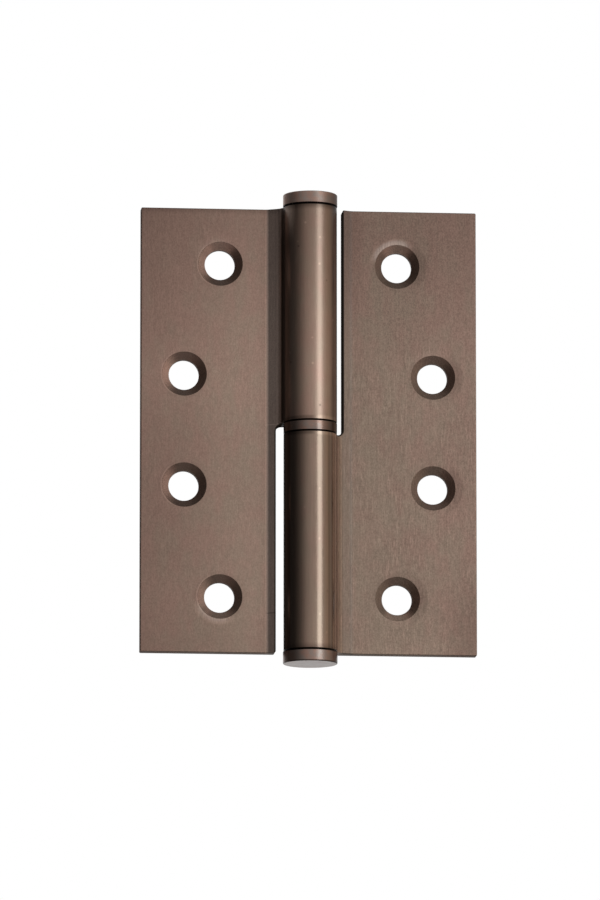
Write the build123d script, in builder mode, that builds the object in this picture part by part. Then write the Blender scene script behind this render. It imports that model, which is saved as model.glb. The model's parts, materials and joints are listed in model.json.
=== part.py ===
from build123d import *
from math import atan2, degrees, radians, sqrt, tan
import os

os.makedirs("parts", exist_ok=True)

# A lift-off butt hinge lying open flat, in millimetres.
# Z is the pin's axis and the origin is on it at mid-height. The frame leaf reaches towards +X and has the
# lower knuckle, the door leaf reaches towards -X and has the upper one. The screws go in from -Y.

# Leaves, each drawn in one piece with its knuckle
leaf_height = 100.0
open_width = 75.0  # over both leaves
leaf_thickness = 3.0
outer_corner_radius = 0.25  # of each leaf's outline
edge_round = 0.2  # left by polishing on the rims of leaves, knuckles, washer and caps

# Knuckles, whose backs are level with the backs of the leaves
knuckle_diameter = 11.9

# Ramp that rises from each leaf's face to its knuckle
ramp_width = 3.5  # from the knuckle's side to the foot of the ramp
ramp_angle = 27.0
cove_radius = 3.0  # in the corner where the ramp meets the knuckle
foot_radius = 2.0  # in the shallow corner where the ramp meets the leaf's face

# Notch that makes room for the other leaf's knuckle
notch_clearance = 1.5
notch_corner_radius = 1.5  # no more than the clearance, to stay off the washer
notch_mouth_radius = 0.45  # on the leaf's corner, where the notch opens

# Countersunk screw holes in a zigzag, evenly spread over the leaf's height
holes_per_leaf = 4
hole_diameter = 6.8
countersink_diameter = 10.0
countersink_angle = 90.0
end_hole_setback = 10.35  # from the foot of the ramp to the first and last hole
middle_hole_inset = 9.7  # from the leaf's outer edge to the other holes

# Pin, pressed into the lower knuckle and free in the upper one
pin_diameter = 7.0
pin_nose_chamfer = 1.2
pin_head_room = 11.0  # between the pin's nose and the top cap's spigot
pin_foot_room = 1.0  # between the pin's foot and the bottom cap's spigot
running_clearance = 0.05  # on the radius, between the pin and what turns on it
bore_chamfer = 0.5

# Washer between the knuckles
washer_thickness = 2.4

# Caps, pressed into the outer ends of the bores
cap_thickness = 2.8
cap_overhang = 0.1  # of the cap's radius over the knuckle's
cap_round = 0.25
spigot_length = 3.0

half_height = leaf_height / 2
half_width = open_width / 2
knuckle_radius = knuckle_diameter / 2
knuckle_end = washer_thickness / 2  # height of the knuckles' inner ends above and below mid-height
back_y = knuckle_radius
front_y = back_y - leaf_thickness
ramp_foot = knuckle_radius + ramp_width
cut_edge = knuckle_radius + notch_clearance
running_bore = pin_diameter + 2 * running_clearance


def ramp_top():
    """Point where the ramp's line runs into the knuckle's circle."""
    slope = tan(radians(ramp_angle))
    height_at_axis = front_y - slope * ramp_foot
    square = 1 + slope**2
    half_term = slope * height_at_axis
    constant = height_at_axis**2 - knuckle_radius**2
    x = (sqrt(half_term**2 - square * constant) - half_term) / square
    return x, height_at_axis + slope * x


def hole_centres():
    """Places of the screw holes in the frame leaf, as x and z."""
    pitch = leaf_height / holes_per_leaf
    for row in range(holes_per_leaf):
        at_end = row in (0, holes_per_leaf - 1)
        x = ramp_foot + end_hole_setback if at_end else half_width - middle_hole_inset
        yield x, pitch * (row + 0.5) - half_height


def leaf_with_knuckle(bore_diameter):
    """One leaf as it stands on the frame side, with its knuckle below."""
    corner = ramp_top()
    sweep = 270 + degrees(atan2(corner[1], corner[0]))
    with BuildPart() as leaf:
        with BuildSketch(Plane.XY.offset(-half_height)) as section:
            with BuildLine():
                face_line = (ramp_foot, front_y), (half_width, front_y)
                Polyline(corner, *face_line, (half_width, back_y), (0, back_y))
                CenterArc((0, 0), knuckle_radius, 90, sweep)
            make_face()
            fillet(section.vertices().sort_by_distance(corner)[0], cove_radius)
            fillet(section.vertices().sort_by_distance(face_line[0])[0], foot_radius)
        extrude(amount=leaf_height)
        fillet(leaf.edges().filter_by(Axis.Y).group_by(Axis.X)[-1], outer_corner_radius)
        side_rims = leaf.edges().filter_by(Axis.Z).group_by(Axis.X)[-1]
        end_rims = leaf.edges().filter_by(Axis.Y, reverse=True).filter_by(Axis.Z, reverse=True)
        fillet(side_rims + end_rims, edge_round)

        with BuildSketch(Plane.XZ) as notch:
            with Locations((cut_edge, -knuckle_end)):
                Rectangle(2 * cut_edge, leaf_height, align=(Align.MAX, Align.MIN))
            fillet(notch.vertices().sort_by_distance((cut_edge, 0, -knuckle_end))[0], notch_corner_radius)
        extrude(amount=knuckle_diameter, both=True, mode=Mode.SUBTRACT)
        notch_rim = leaf.edges(Select.LAST).filter_by(Axis.Y, reverse=True)
        fillet(notch_rim.filter_by_position(Axis.Z, -knuckle_end, half_height / 2), edge_round)
        with BuildSketch(Plane.XZ):
            with Locations((cut_edge, half_height)):
                Rectangle(notch_mouth_radius, notch_mouth_radius, align=(Align.MIN, Align.MAX))
            with Locations((cut_edge + notch_mouth_radius, half_height - notch_mouth_radius)):
                Circle(notch_mouth_radius, mode=Mode.SUBTRACT)
        extrude(amount=knuckle_diameter, both=True, mode=Mode.SUBTRACT)

        with Locations((0, 0, -knuckle_end)):
            Hole(bore_diameter / 2)
        mouths = leaf.edges(Select.LAST).filter_by(GeomType.CIRCLE)
        chamfer(mouths.sort_by(Axis.Z)[-1], bore_chamfer)
        screw_spots = [Location((x, front_y, z), (90, 0, 0)) for x, z in hole_centres()]
        with Locations(*screw_spots):
            CounterSinkHole(hole_diameter / 2, countersink_diameter / 2, counter_sink_angle=countersink_angle)
    return leaf


def end_cap(spigot_diameter):
    """Bottom cap, a disc whose spigot goes up into the bore."""
    with BuildPart() as cap:
        with BuildSketch(Plane.XY.offset(-half_height)):
            Circle(knuckle_radius + cap_overhang)
        extrude(amount=-cap_thickness)
        rims = cap.edges().filter_by(GeomType.CIRCLE).sort_by(Axis.Z)
        fillet(rims[0], cap_round)
        fillet(rims[-1], edge_round)
        with BuildSketch(Plane.XY.offset(-half_height)):
            Circle(spigot_diameter / 2)
        extrude(amount=spigot_length)
    return cap


frame_leaf = leaf_with_knuckle(pin_diameter)
frame_leaf.part.label = "frame_leaf"

with BuildPart() as door_leaf:
    add(leaf_with_knuckle(running_bore).part.rotate(Axis.Y, 180))
door_leaf.part.label = "door_leaf"

with BuildPart() as pin:
    with BuildSketch(Plane.XY.offset(spigot_length + pin_foot_room - half_height)):
        Circle(pin_diameter / 2)
    extrude(amount=leaf_height - 2 * spigot_length - pin_foot_room - pin_head_room)
    chamfer(pin.edges().filter_by(GeomType.CIRCLE).sort_by(Axis.Z)[-1], pin_nose_chamfer)
pin.part.label = "pin"

with BuildPart() as washer:
    with BuildSketch(Plane.XY.offset(-washer_thickness / 2)):
        Circle(knuckle_radius)
        Circle(running_bore / 2, mode=Mode.SUBTRACT)
    extrude(amount=washer_thickness)
    fillet(washer.edges().filter_by(GeomType.CIRCLE).sort_by(SortBy.RADIUS)[-2:], edge_round)
washer.part.label = "washer"

bottom_cap = end_cap(pin_diameter)
bottom_cap.part.label = "bottom_cap"

with BuildPart() as top_cap:
    add(end_cap(running_bore).part.rotate(Axis.Y, 180))
top_cap.part.label = "top_cap"

for piece in (frame_leaf, door_leaf, pin, washer, bottom_cap, top_cap):
    export_step(piece.part, f"parts/{piece.part.label}.step")
    print(piece.part.label, round(piece.part.volume, 1), piece.part.is_valid)
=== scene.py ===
import json
from dataclasses import dataclass
from math import cos, pi, radians, sin

import bpy
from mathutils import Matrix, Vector


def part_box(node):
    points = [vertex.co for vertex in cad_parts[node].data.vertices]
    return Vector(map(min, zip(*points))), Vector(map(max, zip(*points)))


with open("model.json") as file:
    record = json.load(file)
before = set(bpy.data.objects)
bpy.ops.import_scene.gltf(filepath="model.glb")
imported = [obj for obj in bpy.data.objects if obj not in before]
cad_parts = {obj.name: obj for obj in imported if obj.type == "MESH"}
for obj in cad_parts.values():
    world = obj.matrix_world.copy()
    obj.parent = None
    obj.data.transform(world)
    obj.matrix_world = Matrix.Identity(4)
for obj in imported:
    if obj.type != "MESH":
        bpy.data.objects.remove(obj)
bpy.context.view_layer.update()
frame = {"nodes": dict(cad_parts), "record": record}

MM = 0.001

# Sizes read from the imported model, in metres
HALF_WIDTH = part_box("frame_leaf")[1].x
HALF_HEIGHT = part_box("frame_leaf")[1].z
SEAM_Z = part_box("washer")[1].z
CAP_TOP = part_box("top_cap")[1].z

# Places that only the finish needs, from the pin's axis outwards and from mid-height upwards
RAMP_FOOT = 9.45 * MM
CUT_EDGE = 7.45 * MM
NOTCH_CORNER = 1.5 * MM
COUNTERSINK_RADIUS = 5.0 * MM
MILL_MARK = -41.1 * MM

# The photograph's view, in metres and degrees, with the pixel where the hinge's origin is seen
CAMERA_AZIMUTH = -5.5
CAMERA_ELEVATION = -9.5
CAMERA_DISTANCE = 2.0
CAMERA_RANGE = 100.0
IMAGE_WIDTH, IMAGE_HEIGHT = 600, 900
HINGE_PIXEL = (310.2, 428.8)
PIXELS_PER_METRE = 4502.0
SENSOR = 36.0


def screw_spots():
    """Distance from the pin's axis and height of the screw holes, the middle ones first."""
    spots = []
    for mount in frame["record"]["mounts"]:
        if mount["kind"] == "bolt_pattern" and mount["name"].startswith("frame"):
            spots.append((mount["dims"]["spacing_y_mm"] / 2 * MM, mount["pos_m"][0]))
    return [(x, z) for z, x in sorted(spots)]


def direction(azimuth, elevation):
    """Unit vector from the hinge, where azimuth 0 is straight in front and 90 is on its right."""
    a, e = radians(azimuth), radians(elevation)
    return Vector((sin(a) * cos(e), -cos(a) * cos(e), sin(e)))


def make_camera():
    """A long lens a little below and to the left of straight on."""
    data = bpy.data.cameras.new("camera")
    camera = bpy.data.objects.new("camera", data)
    bpy.context.scene.collection.objects.link(camera)
    data.sensor_width = SENSOR
    data.lens = PIXELS_PER_METRE * CAMERA_DISTANCE * SENSOR / IMAGE_HEIGHT
    data.clip_end = CAMERA_RANGE
    toward = direction(CAMERA_AZIMUTH, CAMERA_ELEVATION)
    turn = (-toward).to_track_quat("-Z", "Y")
    right, up = turn @ Vector((1, 0, 0)), turn @ Vector((0, 1, 0))
    off_right = (HINGE_PIXEL[0] - IMAGE_WIDTH / 2) / PIXELS_PER_METRE
    off_up = (IMAGE_HEIGHT / 2 - HINGE_PIXEL[1]) / PIXELS_PER_METRE
    camera.location = toward * CAMERA_DISTANCE - right * off_right - up * off_up
    camera.rotation_mode = "QUATERNION"
    camera.rotation_quaternion = turn
    bpy.context.scene.camera = camera


class Graph:
    """The nodes of one material or world, added by name of what they work out."""

    def __init__(self, owner):
        owner.use_nodes = True
        self.tree = owner.node_tree
        self.tree.nodes.clear()

    def node(self, kind, inputs=None, **settings):
        """A node with its settings, and with its inputs set to a value or linked."""
        made = self.tree.nodes.new(kind)
        for key, value in settings.items():
            setattr(made, key, value)
        for key, value in (inputs or {}).items():
            self.put(made.inputs[key], value)
        return made

    def put(self, socket, value):
        if isinstance(value, bpy.types.NodeSocket):
            self.tree.links.new(value, socket)
        else:
            socket.default_value = value

    def math(self, operation, *terms):
        """One sum, product or other operation on numbers."""
        made = self.node("ShaderNodeMath", operation=operation)
        for socket, term in zip(made.inputs, terms):
            self.put(socket, term)
        return made.outputs[0]

    def total(self, *terms):
        result = terms[0]
        for term in terms[1:]:
            result = self.math("ADD", result, term)
        return result

    def product(self, *terms):
        result = terms[0]
        for term in terms[1:]:
            result = self.math("MULTIPLY", result, term)
        return result

    def size(self, value):
        """The value without its sign."""
        return self.math("ABSOLUTE", value)

    def inverse(self, mask):
        """1 where the mask is 0."""
        return self.math("SUBTRACT", 1.0, mask)

    def hypot(self, a, b):
        return self.math("SQRT", self.total(self.product(a, a), self.product(b, b)))

    def fade(self, value, start, end, low=0.0, high=1.0):
        """A smooth step from low to high as value goes from start to end."""
        inputs = {"Value": value, "From Min": start, "From Max": end, "To Min": low, "To Max": high}
        return self.node("ShaderNodeMapRange", inputs, interpolation_type="SMOOTHSTEP").outputs["Result"]

    def band(self, value, centre, reach, soft):
        """1 where value is within reach of the centre, fading out over soft."""
        away = self.size(self.math("SUBTRACT", value, centre))
        return self.fade(away, reach, reach + soft, 1.0, 0.0)

    def toned(self, mask, shade):
        """A level of 1 where the mask is 0 and of shade where it is 1."""
        return self.fade(mask, 0.0, 1.0, 1.0, shade)

    def lerp(self, factor, first, second):
        """Blends two numbers."""
        made = self.node("ShaderNodeMix", {0: factor, 2: first, 3: second}, data_type="FLOAT")
        return made.outputs[0]

    def scaled(self, vector, x, y, z):
        made = self.node("ShaderNodeVectorMath", {0: vector, 1: (x, y, z)}, operation="MULTIPLY")
        return made.outputs[0]

    def split(self, vector):
        return self.node("ShaderNodeSeparateXYZ", {0: vector}).outputs

    def noise(self, vector, detail=2.0, roughness=0.5):
        """Soft noise about 0.5, one unit coarse."""
        inputs = {"Vector": vector, "Scale": 1.0, "Detail": detail, "Roughness": roughness}
        return self.node("ShaderNodeTexNoise", inputs).outputs["Fac"]

    def cells(self, vector):
        """Random cells one unit wide: a random number for each, and the distance from its middle."""
        made = self.node("ShaderNodeTexVoronoi", {"Vector": vector, "Scale": 1.0}).outputs
        return self.split(made["Color"])[0], made["Distance"]

    def mix(self, factor, first, second, blend="MIX"):
        """Blends two colours."""
        made = self.node("ShaderNodeMix", data_type="RGBA", blend_type=blend)
        self.put(made.inputs[0], factor)
        self.put(made.inputs[6], first)
        self.put(made.inputs[7], second)
        return made.outputs[2]

    def shade(self, colour, level):
        """Multiplies a colour by a number."""
        made = self.node("ShaderNodeCombineColor")
        for socket in made.inputs:
            self.put(socket, level)
        return self.mix(1.0, colour, made.outputs[0], "MULTIPLY")


def sees_background(graph):
    """1 for the rays that show the plain background: the camera's own, mirrored and bent ones."""
    path = graph.node("ShaderNodeLightPath").outputs
    straight = graph.math("MAXIMUM", path["Is Camera Ray"], path["Is Glossy Ray"])
    return graph.math("MAXIMUM", straight, path["Is Transmission Ray"])


# Studio, in metres and degrees
WHITE = (1, 1, 1, 1)
ROOM_LIGHT = 0.9
FLOOR_DROP = 0.42
FLOOR_SIZE = 6.0
FLOOR_PAPER = (0.9, 0.9, 0.9, 1)
# The floor's glow where it is seen as background, and the glow's share beside the lit paper
FLOOR_GLOW, FLOOR_LIFT = 1.05, 0.8
# How far the tent reaches to each side, and in how many steps it goes round
TENT_REACH, TENT_STEPS = 150, 60
# The tent from the middle of its dark foot, up the wall and over the roof, as radius, height and shade
TENT_OUTLINE = [
    (0.02, -0.41, 0.12), (0.30, -0.41, 0.15), (0.50, -0.40, 0.7), (0.60, -0.30, 1.1), (0.60, 0.0, 1.0),
    (0.60, 0.25, 0.8), (0.55, 0.5, 0.55), (0.35, 0.7, 0.4), (0.02, 0.75, 0.3),
]
# Brightness of the tent's wall, as azimuth and level
TENT_LEVELS = [
    (-150, 0.35), (-120, 0.25), (-95, 0.09), (-75, 0.10), (-58, 0.24), (-40, 0.48), (-22, 0.90),
    (-4, 1.15), (12, 1.25), (28, 1.25), (45, 1.2), (60, 1.1), (75, 0.95), (91, 0.7), (120, 0.4), (150, 0.45),
]
# The tent's glow is warmer round this azimuth
WARM_AZIMUTH, WARM_REACH = 78, 36
WARM_GLOW = (1.0, 0.88, 0.72)
COOL_LAMP = (0.80, 0.94, 1.0)


def plain_object(name, corners, faces, material):
    """A mesh of the studio, which isn't part of the hinge."""
    mesh = bpy.data.meshes.new(name)
    mesh.from_pydata(corners, [], faces)
    mesh.materials.append(material)
    made = bpy.data.objects.new(name, mesh)
    bpy.context.scene.collection.objects.link(made)
    return made


def make_world():
    """A white background, which is a little dimmer as a light than it looks."""
    world = bpy.data.worlds.new("studio")
    bpy.context.scene.world = world
    graph = Graph(world)
    background = graph.node("ShaderNodeBackground", {"Color": WHITE, "Strength": 1.0})
    room = graph.node("ShaderNodeBackground", {"Color": WHITE, "Strength": ROOM_LIGHT})
    inputs = {0: sees_background(graph), 1: room.outputs[0], 2: background.outputs[0]}
    mixed = graph.node("ShaderNodeMixShader", inputs)
    graph.node("ShaderNodeOutputWorld", {"Surface": mixed.outputs[0]})


def make_floor():
    """White paper, seen from above only."""
    material = bpy.data.materials.new("studio_floor")
    graph = Graph(material)
    paper = graph.node("ShaderNodeBsdfDiffuse", {"Color": FLOOR_PAPER})
    white = graph.node("ShaderNodeEmission", {"Color": WHITE, "Strength": FLOOR_GLOW})
    lift = graph.product(sees_background(graph), FLOOR_LIFT)
    top = graph.node("ShaderNodeMixShader", {0: lift, 1: paper.outputs[0], 2: white.outputs[0]})
    below = graph.node("ShaderNodeNewGeometry").outputs["Backfacing"]
    clear = graph.node("ShaderNodeBsdfTransparent")
    sided = graph.node("ShaderNodeMixShader", {0: below, 1: top.outputs[0], 2: clear.outputs[0]})
    graph.node("ShaderNodeOutputMaterial", {"Surface": sided.outputs[0]})
    reach = FLOOR_SIZE / 2
    corners = [(x * reach, y * reach, -FLOOR_DROP) for x, y in ((-1, -1), (1, -1), (1, 1), (-1, 1))]
    plain_object("floor", corners, [(0, 1, 2, 3)], material)


def tent_light(azimuth, shade):
    """Colour of the tent's light at an azimuth, with an alpha of 1."""
    for (start, first), (end, last) in zip(TENT_LEVELS, TENT_LEVELS[1:]):
        if start <= azimuth <= end:
            level = first + (last - first) * (azimuth - start) / (end - start)
    warm = max(0.0, 1 - abs(azimuth - WARM_AZIMUTH) / WARM_REACH)
    return [level * shade * (1 + (tint - 1) * warm) for tint in WARM_GLOW] + [1.0]


def make_tent():
    """A glowing tent round the hinge, graded from dark to bright and seen only in reflections, open behind it
    and out of the camera's sight.
    """
    material = bpy.data.materials.new("studio_tent")
    graph = Graph(material)
    light = graph.node("ShaderNodeAttribute", attribute_name="light").outputs["Color"]
    glow = graph.node("ShaderNodeEmission", {"Color": light, "Strength": 1.0})
    graph.node("ShaderNodeOutputMaterial", {"Surface": glow.outputs[0]})
    material.cycles.emission_sampling = "NONE"
    rows = len(TENT_OUTLINE)
    corners, lights, faces = [], [], []
    for i in range(TENT_STEPS + 1):
        azimuth = 2 * TENT_REACH * i / TENT_STEPS - TENT_REACH
        for radius, height, shade in TENT_OUTLINE:
            spot = direction(azimuth, 0) * radius
            corners.append((spot.x, spot.y, height))
            lights += tent_light(azimuth, shade)
    for i in range(TENT_STEPS):
        for j in range(rows - 1):
            a = i * rows + j
            faces.append((a, a + 1, a + rows + 1, a + rows))
    wall = plain_object("tent_wall", corners, faces, material)
    attribute = wall.data.attributes.new("light", "FLOAT_COLOR", "POINT")
    attribute.data.foreach_set("color", lights)
    wall.visible_camera = False
    wall.visible_diffuse = False
    wall.visible_shadow = False
    wall.visible_transmission = False


def softbox(name, azimuth, elevation, distance, width, height, level, colour):
    """A flat lamp that faces the hinge and is seen at that brightness."""
    data = bpy.data.lights.new(name, "AREA")
    data.shape = "RECTANGLE"
    data.size, data.size_y = width, height
    data.energy = level * pi * width * height
    data.color = colour
    lamp = bpy.data.objects.new(name, data)
    bpy.context.scene.collection.objects.link(lamp)
    away = direction(azimuth, elevation)
    lamp.location = away * distance
    lamp.rotation_mode = "QUATERNION"
    lamp.rotation_quaternion = away.to_track_quat("Z", "Y")
    lamp.visible_camera = False


# Finish, in linear colour
BRONZE_RED = (0.224, 0.138, 0.109, 1)
BRONZE_GREEN = (0.207, 0.149, 0.113, 1)
BRONZE_GREY = (0.188, 0.146, 0.126, 1)
# Near-black for the dull edges and the notch's lip
DARK_EDGE = (0.020, 0.015, 0.012, 1)
STEEL_DARK = (0.50, 0.50, 0.51, 1)
STEEL_LIGHT = (0.60, 0.60, 0.60, 1)

# Roughness, where a pair is its range
PLATE_ROUGHNESS = (0.40, 0.46)
SINK_ROUGHNESS = 0.6
EDGE_ROUGHNESS = 0.55
STEEL_ROUGHNESS = (0.22, 0.28)

# Relief as shares of the depth, fainter on the knuckles
RELIEF_DEPTH = 0.01 * MM
STROKE_RELIEF, GRAIN_RELIEF, RING_RELIEF, GRINDING_RELIEF = 0.08, 0.06, 0.12, 0.03
KNUCKLE_RELIEF = 0.3

# How fine each texture is, in cells per metre along x, y and z
PATCH_CELLS = (60, 60, 35)
TINT_CELLS = (330, 200, 170)
LONG_STROKE_CELLS = (2600, 2000, 60)
STROKE_CELLS = (5200, 2000, 300)
DASH_CELLS = (5600, 5600, 700)
GRAIN_CELLS = (4200, 4200, 3000)
BUSY_CELLS = (170, 100, 70)
SPOT_CELLS = (500, 500, 500)
GRINDING_CELLS = (300, 300, 6000)
# Turning marks per metre away from the axis and along it
TURNING_CELLS = (9000, 3000)
# Cells of specks per metre
PLATE_SPECKS, KNUCKLE_SPECKS, TURNED_SPECKS = 900, 620, 1100

# How strong the specks are where no look says it, and the strokes and the grain on a knuckle
PLATE_PITS, TURNED_PITS = 0.14, 0.12
KNUCKLE_STROKES, KNUCKLE_GRAIN = 0.04, 0.03


def metal(name, graph_maker, **details):
    """A metal whose graph gives colour, metalness, roughness and relief."""
    material = bpy.data.materials.new(name)
    graph = Graph(material)
    colour, metalness, roughness, relief = graph_maker(graph, **details)
    bump = graph.node("ShaderNodeBump", {"Height": relief, "Strength": 1.0, "Distance": RELIEF_DEPTH})
    inputs = {"Base Color": colour, "Metallic": metalness, "Roughness": roughness, "Normal": bump.outputs[0]}
    surface = graph.node("ShaderNodeBsdfPrincipled", inputs)
    surface.inputs["Specular IOR Level"].default_value = 0.0
    graph.node("ShaderNodeOutputMaterial", {"Surface": surface.outputs[0]})
    return material


def specks(graph, place, per_metre, strength):
    """Scattered pits and bright grains, as a level about 1."""
    pick, distance = graph.cells(graph.scaled(place, per_metre, per_metre, per_metre))
    dot = graph.product(graph.inverse(graph.fade(distance, 0.06, 0.24)), strength)
    sign = graph.math("SUBTRACT", graph.fade(pick, 0.90, 0.93), graph.fade(pick, 0.05, 0.08, 1.0, 0.0))
    return graph.total(graph.product(dot, sign), 1.0)


def seam_line(graph, z):
    """Dark lines where knuckles, washer and caps meet, as a level."""
    tall = graph.size(z)
    inner = graph.band(tall, SEAM_Z, 0.17 * MM, 0.1 * MM)
    outer = graph.band(tall, HALF_HEIGHT + 0.05 * MM, 0.2 * MM, 0.1 * MM)
    return graph.toned(graph.math("MAXIMUM", inner, outer), 0.02)


def nearest_hole(graph, x, z, side):
    """Distance from the nearest screw hole's centre, and how far rightward and upward of it, from -1 to 1."""
    (middle_x, middle_z), (end_x, end_z) = screw_spots()
    tall = graph.size(z)
    at_end = graph.math("GREATER_THAN", tall, (middle_z + end_z) / 2)
    right = graph.math("SUBTRACT", x, graph.lerp(at_end, side * middle_x, side * end_x))
    beyond = graph.math("SUBTRACT", tall, graph.lerp(at_end, middle_z, end_z))
    above = graph.product(beyond, graph.math("SIGN", z))
    away = graph.hypot(right, above)
    return away, graph.math("DIVIDE", right, away), graph.math("DIVIDE", above, away)


def notch_distance(graph, out, toward_notch):
    """Distance outside the leaf's notch, whose corner is round."""
    across = graph.math("MAXIMUM", graph.math("SUBTRACT", out, CUT_EDGE - NOTCH_CORNER), 0.0)
    along = graph.math("SUBTRACT", NOTCH_CORNER - SEAM_Z, toward_notch)
    corner = graph.hypot(across, graph.math("MAXIMUM", along, 0.0))
    return graph.math("SUBTRACT", corner, NOTCH_CORNER)


@dataclass(kw_only=True)
class LeafLook:
    """What sets one leaf's finish apart. A shade multiplies the colour, and 1 leaves it as it is."""

    # Strength of the texture
    strokes: float
    long_strokes: float
    dashes: float
    grain: float
    pits: float  # on the knuckle
    calm: float = 1.0  # share of the strokes and dashes that is left at the top

    # Colour
    red: float  # shift from green towards red
    ramp_grey: float  # share of grey on the ramp

    # Shades of the leaf: painted light and shade across it, and two darker corners
    inner: float  # from the axis to a little beyond the ramp
    outer: float  # at the leaf's outer edge
    top: float
    top_rim: float = 1.0
    bottom: float
    corner: float = 1.0  # at the top beside the ramp, and redder the darker it is
    low_corner: float = 1.0  # at the bottom, at the outer edge
    sheen: float = 1.0  # painted sheen across the leaf, a quarter down from the top

    # Painted light and shade of the countersinks, in the cones and round them
    sink: float
    sink_left: float  # of their left side
    sink_low: float  # of their lower side
    beside: float = 1.0  # painted shadow on the plate, right of them
    rim: float = 0.0  # strength of the painted highlight along their left rim
    halo: float  # strength of the painted highlight arc outside them
    low_halo: float  # how many times as strong that arc is on the lower ones

    # The ramp and the knuckle
    ramp: float = 1.0  # painted shade of the ramp
    milled: float = 0.0  # strength of the two milling marks
    glint: float = 0.0  # strength of the painted highlight in the corner under the top cap
    flank: float = 1.0  # painted shade of the knuckle's left side
    knuckle_roughness: float
    bands: tuple  # painted upright reflections: distance from the axis, reach and soft edge in mm, and shade


DOOR_LOOK = LeafLook(
    strokes=0.03, long_strokes=0.01, dashes=0.07, grain=0.13, pits=0.4,
    red=0.04, ramp_grey=0.8,
    inner=1.01, outer=0.78, top=0.75, top_rim=0.75, bottom=0.92, sheen=1.15,
    sink=0.97, sink_left=2.5, sink_low=0.62, rim=0.3, halo=0.3, low_halo=2.3,
    milled=1.0, glint=3.5, knuckle_roughness=0.31,
    bands=((9.45, 0.1, 0.5, 1.5), (6.85, 0.25, 0.5, 1.65), (6.07, 0.15, 0.35, 0.25)),
)
FRAME_LOOK = LeafLook(
    strokes=0.05, long_strokes=0.035, dashes=0.14, grain=0.18, pits=0.2, calm=0.45,
    red=-0.03, ramp_grey=0.35,
    inner=0.885, outer=0.86, top=0.78, bottom=1.05, corner=0.82, low_corner=0.8,
    sink=1.1, sink_left=1.05, sink_low=0.85, beside=0.8, halo=1.5, low_halo=0.12,
    ramp=0.92, flank=0.45, knuckle_roughness=0.21,
    bands=(
        (9.45, 0.1, 0.5, 0.64), (6.95, 0.1, 0.4, 0.86), (6.0, 0.95, 0.55, 2.0), (5.65, 0.82, 0.25, 1.4),
        (5.1, 0.1, 0.3, 0.68), (4.4, 0.32, 0.3, 1.34), (4.0, 0.3, 0.4, 0.74),
    ),
)


class LeafSurface:
    """Distances on a leaf in metres, and its parts and textures, each from 0 to 1."""

    def __init__(self, graph, side):
        self.side = side
        coordinates = graph.node("ShaderNodeTexCoord").outputs
        self.place = coordinates["Object"]
        self.facing = graph.split(coordinates["Normal"])
        self.streak = graph.noise(graph.scaled(self.place, *STROKE_CELLS), 1, 0.4)
        self.grain = graph.noise(graph.scaled(self.place, *GRAIN_CELLS), 2, 0.6)
        self.find_distances(graph)
        self.find_parts(graph)
        self.find_corners(graph)

    def find_distances(self, graph):
        """On the back a metre is added to two of them, which leaves the front's details out there."""
        self.x, self.y, self.z = graph.split(self.place)
        self.tall = graph.size(self.z)
        self.out = graph.product(self.x, self.side)
        behind = graph.fade(self.y, 5.0 * MM, 5.6 * MM)
        back = graph.product(behind, graph.fade(self.out, -0.5 * MM, 0.5 * MM))
        self.front_out = graph.total(self.out, back)
        hole, self.rightward, self.upward = nearest_hole(graph, self.x, self.z, self.side)
        self.hole = graph.total(hole, back)
        self.outward = graph.product(self.upward, graph.math("SIGN", self.z))
        self.notch = notch_distance(graph, self.out, graph.product(self.z, self.side))

    def find_parts(self, graph):
        """The finish is dull on the edges and on the notch's lip."""
        self.knuckle = graph.fade(self.front_out, 5.6 * MM, 6.2 * MM, 1.0, 0.0)
        self.off_knuckle = graph.inverse(self.knuckle)
        plate = graph.fade(self.front_out, RAMP_FOOT - 0.5 * MM, RAMP_FOOT + 0.5 * MM)
        self.ramp = graph.product(self.off_knuckle, graph.inverse(plate))
        rim = COUNTERSINK_RADIUS
        self.sink = graph.fade(self.hole, rim - 0.12 * MM, rim + 0.02 * MM, 1.0, 0.0)
        self.outside = graph.inverse(self.sink)
        self.flat = graph.fade(graph.size(self.facing[1]), 0.5, 0.8)
        side_edge = graph.product(graph.inverse(self.flat), self.outside, plate)
        end_edge = graph.fade(graph.size(self.facing[2]), 0.6, 0.8)
        self.edge = graph.math("MAXIMUM", side_edge, end_edge)
        self.lip = graph.product(graph.fade(self.notch, 0.25 * MM, 0.45 * MM, 1.0, 0.0), self.off_knuckle)

    def find_corners(self, graph):
        """The upper corner beside the ramp, and the lower one at the leaf's outer edge."""
        beside_ramp = graph.fade(self.front_out, 8 * MM, 15 * MM, 1.0, 0.0)
        self.corner = graph.product(beside_ramp, graph.fade(self.z, 10 * MM, 46 * MM))
        outer = graph.fade(self.front_out, 25 * MM, HALF_WIDTH)
        self.low_corner = graph.product(outer, graph.fade(self.z, -46 * MM, -26 * MM, 1.0, 0.0))


def leaf_halo(graph, leaf, look):
    """Painted highlight: a light arc outside each countersink, on the side of the leaf's end, and faint on
    the middle ones.
    """
    reach = COUNTERSINK_RADIUS + 1.7 * MM
    toward_end = graph.total(graph.product(leaf.outward, 0.85), graph.product(leaf.rightward, -0.35))
    return graph.product(
        graph.fade(leaf.hole, COUNTERSINK_RADIUS, reach, look.halo, 0.0),
        graph.fade(toward_end, 0.35, 0.9),
        graph.fade(leaf.tall, 20 * MM, 30 * MM, 0.15, 1.0),
        graph.fade(leaf.z, -25 * MM, 25 * MM, look.low_halo, 1.0),
        leaf.outside,
    )


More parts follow.
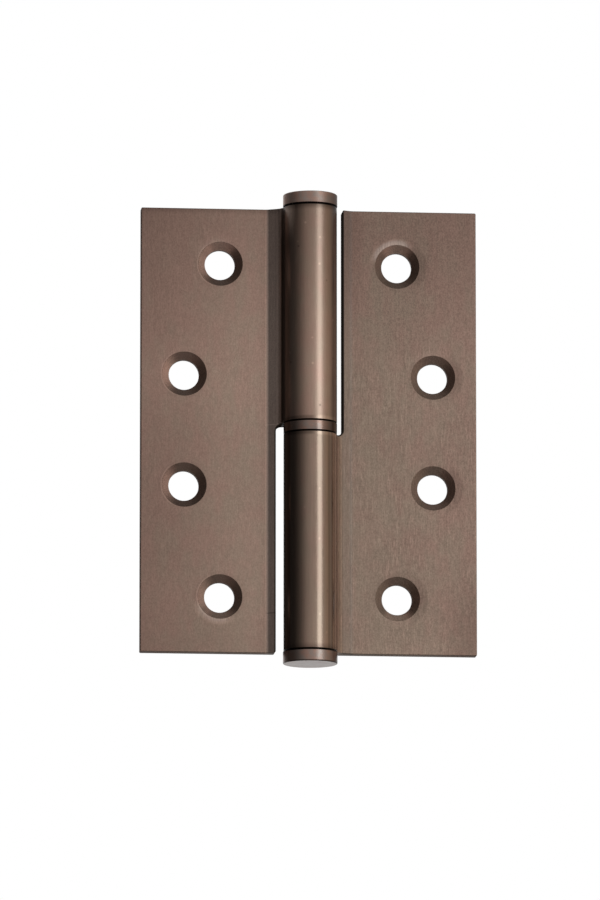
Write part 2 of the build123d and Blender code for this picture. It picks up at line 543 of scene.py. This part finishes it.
def leaf_colour(graph, leaf, look, halo):
    """Bronze between red and green, with grey on the ramp, the knuckle's flanks and the painted highlight
    arcs.
    """
    across, deep, tall = TINT_CELLS
    tint = graph.noise(graph.scaled(leaf.place, across * leaf.side, deep, tall))
    red = graph.total(
        graph.fade(leaf.out, 12 * MM, HALF_WIDTH, -0.08, 0.08),
        graph.fade(tint, 0.2, 0.8, 0.36, 0.64),
        look.red,
        graph.product(leaf.corner, 2 * (1 - look.corner)),
        graph.product(graph.fade(leaf.z, 8 * MM, HALF_HEIGHT, 0.0, 0.16), leaf.off_knuckle),
    )
    colour = graph.mix(graph.fade(red, 0.25, 0.75), BRONZE_GREEN, BRONZE_RED)
    greyness = graph.total(
        graph.product(leaf.ramp, look.ramp_grey),
        graph.product(leaf.knuckle, graph.fade(leaf.x, -5.6 * MM, -3 * MM, 0.9, 0.0)),
        graph.product(leaf.knuckle, graph.fade(leaf.x, 4.3 * MM, 5.0 * MM, 0.0, 0.8)),
    )
    colour = graph.mix(greyness, colour, BRONZE_GREY)
    return graph.mix(graph.fade(halo, 0.0, 1.0, 0.0, 0.7), colour, BRONZE_GREY)


def leaf_texture(graph, leaf, look, halo):
    """Brushing, grain and the painted highlights round the countersinks, as a level about 1."""
    patch = graph.noise(graph.scaled(leaf.place, *PATCH_CELLS), 3, 0.55)
    long_stroke = graph.noise(graph.scaled(leaf.place, *LONG_STROKE_CELLS))
    dash = graph.cells(graph.scaled(leaf.place, *DASH_CELLS))[0]
    busy = graph.product(
        graph.fade(graph.noise(graph.scaled(leaf.place, *BUSY_CELLS)), 0.35, 0.65, 0.6, 1.3),
        graph.fade(leaf.z, -5 * MM, 38 * MM, 1.0, look.calm),
    )
    stroke_strength = graph.lerp(leaf.knuckle, look.strokes, KNUCKLE_STROKES)
    grain_strength = graph.lerp(leaf.knuckle, look.grain, KNUCKLE_GRAIN)
    # Painted highlight along the countersinks' left rim
    rim_line = graph.band(leaf.hole, COUNTERSINK_RADIUS + 0.15 * MM, 0.1 * MM, 0.1 * MM)
    return graph.total(
        graph.fade(patch, 0.25, 0.75, 0.96, 1.04),
        graph.fade(long_stroke, 0.3, 0.7, -look.long_strokes, look.long_strokes),
        graph.product(graph.fade(leaf.streak, 0.25, 0.75, -1.0, 1.0), stroke_strength, busy),
        graph.product(graph.fade(dash, 0.5, 1.0, -0.35, 1.0), leaf.off_knuckle, busy, look.dashes),
        graph.product(graph.fade(leaf.grain, 0.25, 0.75, -1.0, 1.0), grain_strength),
        # Painted highlight arcs, streaked
        graph.product(halo, graph.fade(leaf.streak, 0.35, 0.65, 0.6, 1.0)),
        graph.product(rim_line, graph.fade(leaf.rightward, -0.9, -0.3, look.rim, 0.0)),
    )


def plate_shades(graph, leaf, look):
    """Levels of painted light and shade on the leaf from top to bottom and from the ramp to its outer edge,
    and of two darker corners.
    """
    return [
        graph.fade(leaf.z, 8 * MM, HALF_HEIGHT + 4 * MM, 1.0, look.top),
        graph.fade(leaf.z, HALF_HEIGHT - 1.5 * MM, HALF_HEIGHT, 1.0, look.top_rim),
        graph.fade(leaf.z, -HALF_HEIGHT, -36 * MM, look.bottom, 1.0),
        graph.toned(graph.band(leaf.z, 28 * MM, 10 * MM, 28 * MM), look.sheen),
        graph.fade(leaf.front_out, 12 * MM, HALF_WIDTH, look.inner, look.outer),
        graph.toned(leaf.corner, look.corner),
        graph.toned(leaf.low_corner, look.low_corner),
    ]


def countersink_shades(graph, leaf, look):
    """Levels of painted light and shade in each countersink, and of painted shade on the plate just outside
    it.
    """
    # Painted light and shade in the cones: lighter on the left and on the wall towards the leaf's end, darker
    # on the right and below
    end_wall = graph.product(graph.fade(leaf.outward, 0.5, 1.0), graph.fade(leaf.tall, 25 * MM, 30 * MM))
    cone = graph.product(
        graph.fade(leaf.rightward, -1.1, -0.3, look.sink_left, 1.0),
        graph.fade(leaf.rightward, 0.5, 1.0, 1.0, 0.55),
        graph.fade(leaf.upward, -1.0, -0.3, look.sink_low, 1.0),
        graph.toned(end_wall, 1.9),
        look.sink,
    )
    # Painted shade in a ring just outside each countersink, and a painted shadow to its right
    dark_ring = graph.band(leaf.hole, COUNTERSINK_RADIUS + 0.3 * MM, 0.2 * MM, 0.5 * MM)
    wide_ring = graph.band(leaf.hole, COUNTERSINK_RADIUS + 0.8 * MM, 0.5 * MM, 0.8 * MM)
    beside = graph.product(wide_ring, leaf.outside, graph.fade(leaf.rightward, 0.4, 1.0))
    return [
        graph.lerp(leaf.sink, 1.0, cone),
        graph.lerp(graph.product(dark_ring, leaf.outside), 1.0, 0.95),
        graph.lerp(beside, 1.0, look.beside),
    ]


def ramp_shades(graph, leaf, look):
    """Levels of the ramp: its painted reflections, its milling marks and the painted highlight in the corner
    under the top cap.
    """
    milled = graph.product(leaf.ramp, look.milled)
    light_mark = graph.product(milled, graph.band(leaf.z, SEAM_Z, 0.04 * MM, 0.08 * MM), 0.5)
    dark_mark = graph.product(milled, graph.band(leaf.z, MILL_MARK, 0.05 * MM, 0.08 * MM))
    # Painted highlight in the corner under the top cap
    glint = graph.product(
        graph.fade(leaf.z, HALF_HEIGHT - 9 * MM, HALF_HEIGHT + 1 * MM, 0.0, look.glint),
        graph.band(leaf.x, -5.3 * MM, 0.5 * MM, 1.3 * MM),
        graph.fade(leaf.y, 0.0, 2 * MM, 1.0, 0.0),
    )
    shades = [
        # Painted shade of the ramp
        graph.toned(leaf.ramp, look.ramp),
        graph.total(light_mark, 1.0),
        graph.lerp(dark_mark, 1.0, 0.5),
        graph.total(glint, 1.0),
    ]
    # Painted reflections along the ramp and the knuckle beside it
    for centre, reach, soft, shade in look.bands:
        shades.append(graph.toned(graph.band(leaf.front_out, centre * MM, reach * MM, soft * MM), shade))
    return shades


def knuckle_shades(graph, leaf, look):
    """Levels of the knuckle: its seams, painted shade at its ends and left side, and painted highlight and
    shade by the washer.
    """
    # Painted shade at the knuckle's ends by the caps, and on its left side
    ends = graph.fade(leaf.tall, HALF_HEIGHT - 1.6 * MM, HALF_HEIGHT, 1.0, 0.6)
    flank = graph.fade(leaf.x, -5.5 * MM, 1.0 * MM, look.flank, 1.0)
    # Painted highlight on the right of the rim by the washer, and painted shade on its left
    rim_highlight_and_shade = graph.product(leaf.knuckle, graph.band(leaf.tall, SEAM_Z + 0.4 * MM, 0.2 * MM, 0.6 * MM))
    return [
        graph.lerp(leaf.knuckle, 1.0, graph.product(seam_line(graph, leaf.z), ends, flank)),
        graph.lerp(rim_highlight_and_shade, 1.0, graph.fade(leaf.x, -0.5 * MM, 1.6 * MM, 0.6, 1.3)),
    ]


def leaf_specks(graph, leaf, look):
    """Specks of the plate and of the knuckle, as a level about 1."""
    on_plate = specks(graph, leaf.place, PLATE_SPECKS, PLATE_PITS)
    return graph.lerp(leaf.knuckle, on_plate, specks(graph, leaf.place, KNUCKLE_SPECKS, look.pits))


def leaf_roughness(graph, leaf, look):
    """Glossiest on the knuckle, and dullest in the countersinks and on the edges."""
    middle = look.knuckle_roughness
    on_plate = graph.fade(leaf.streak, 0.3, 0.7, *PLATE_ROUGHNESS)
    on_knuckle = graph.fade(leaf.streak, 0.3, 0.7, middle - 0.02, middle + 0.02)
    roughness = graph.lerp(leaf.knuckle, on_plate, on_knuckle)
    roughness = graph.lerp(leaf.sink, roughness, SINK_ROUGHNESS)
    return graph.lerp(leaf.edge, roughness, EDGE_ROUGHNESS)


def leaf_relief(graph, leaf):
    """Strokes and grain in relief, on what faces forwards or backwards."""
    strokes = graph.product(leaf.streak, STROKE_RELIEF)
    relief = graph.total(strokes, graph.product(leaf.grain, GRAIN_RELIEF))
    return graph.product(relief, leaf.flat, graph.lerp(leaf.knuckle, 1.0, KNUCKLE_RELIEF))


def leaf_graph(graph, side, look):
    """Satin bronze of a leaf that reaches towards +X with side 1 and -X with side -1."""
    leaf = LeafSurface(graph, side)
    halo = leaf_halo(graph, leaf, look)
    level = graph.product(
        leaf_texture(graph, leaf, look, halo),
        leaf_specks(graph, leaf, look),
        *plate_shades(graph, leaf, look),
        *countersink_shades(graph, leaf, look),
        *ramp_shades(graph, leaf, look),
        *knuckle_shades(graph, leaf, look),
    )
    bright = graph.shade(leaf_colour(graph, leaf, look, halo), level)
    # The edges and the notch's lip turn near-black, dull and not metallic
    dull = graph.math("MAXIMUM", graph.product(leaf.edge, 0.6), leaf.lip)
    roughness = leaf_roughness(graph, leaf, look)
    return graph.mix(dull, bright, DARK_EDGE), graph.inverse(dull), roughness, leaf_relief(graph, leaf)


def turned_graph(graph, brightness, roughness, rim_shade=1.0, sides=None):
    """Bronze turned on a lathe, with faint rings on its flat ends.

    The rim is a cap's outer one, with painted shade below 1 and a painted highlight above 1. The sides are
    two places in x and the levels of painted light and shade on their left and right.
    """
    place = graph.node("ShaderNodeTexCoord").outputs["Object"]
    x, y, z = graph.split(place)
    tall = graph.size(z)
    spot = graph.noise(graph.scaled(place, *SPOT_CELLS), 3, 0.6)
    marks = {0: graph.product(graph.hypot(x, y), TURNING_CELLS[0]), 2: graph.product(z, TURNING_CELLS[1])}
    rings = graph.noise(graph.node("ShaderNodeCombineXYZ", marks).outputs[0])
    shades = [
        seam_line(graph, z),
        # A cap's outer rim: painted shade below 1, painted highlight above 1
        graph.toned(graph.band(tall, CAP_TOP - 0.15 * MM, 0.1 * MM, 0.1 * MM), rim_shade),
        graph.fade(rings, 0.2, 0.8, 0.95, 1.05),
        graph.fade(tall, CAP_TOP - 0.06 * MM, CAP_TOP - 0.01 * MM, 1.0, 0.92),
    ]
    # Painted light and shade from left to right
    if sides:
        shades.append(graph.fade(x, *sides))
    colour = graph.mix(graph.fade(spot, 0.3, 0.7), BRONZE_GREY, BRONZE_RED)
    level = graph.product(specks(graph, place, TURNED_SPECKS, TURNED_PITS), brightness, *shades)
    spotted = graph.fade(spot, 0.2, 0.8, roughness - 0.03, roughness + 0.03)
    return graph.shade(colour, level), 1.0, spotted, graph.product(rings, RING_RELIEF)


def steel_graph(graph):
    """Ground steel with fine rings."""
    place = graph.node("ShaderNodeTexCoord").outputs["Object"]
    line = graph.noise(graph.scaled(place, *GRINDING_CELLS))
    colour = graph.mix(line, STEEL_DARK, STEEL_LIGHT)
    return colour, 1.0, graph.fade(line, 0.2, 0.8, *STEEL_ROUGHNESS), graph.product(line, GRINDING_RELIEF)


def dress(node, material):
    for slot in frame["nodes"][node].material_slots:
        slot.material = material


def dress_hinge():
    """Every node gets a material of its own."""
    dress("door_leaf", metal("satin_bronze_door_leaf", leaf_graph, side=-1, look=DOOR_LOOK))
    dress("frame_leaf", metal("brushed_bronze_frame_leaf", leaf_graph, side=1, look=FRAME_LOOK))
    # Painted shade on the bottom cap's rim
    dress("bottom_cap", metal(
        "satin_bronze_bottom_cap", turned_graph, brightness=0.91, roughness=0.3, rim_shade=0.4,
    ))
    # Painted highlight on the top cap's rim and its left side
    dress("top_cap", metal(
        "satin_bronze_top_cap", turned_graph, brightness=0.86, roughness=0.42, rim_shade=1.2,
        sides=(-6 * MM, 1 * MM, 2.5, 1.0),
    ))
    # Painted shade on the washer's right side
    dress("washer", metal(
        "satin_bronze_washer", turned_graph, brightness=0.79, roughness=0.20,
        sides=(1.5 * MM, 4.5 * MM, 1.0, 0.5),
    ))
    dress("pin", metal("ground_steel", steel_graph))


make_camera()
make_world()
make_floor()
make_tent()
softbox(
    "softbox_right", azimuth=36, elevation=12, distance=0.56,
    width=0.20, height=0.9, level=3.3, colour=COOL_LAMP,
)
dress_hinge()

bpy.context.scene.view_settings.view_transform = "Standard"
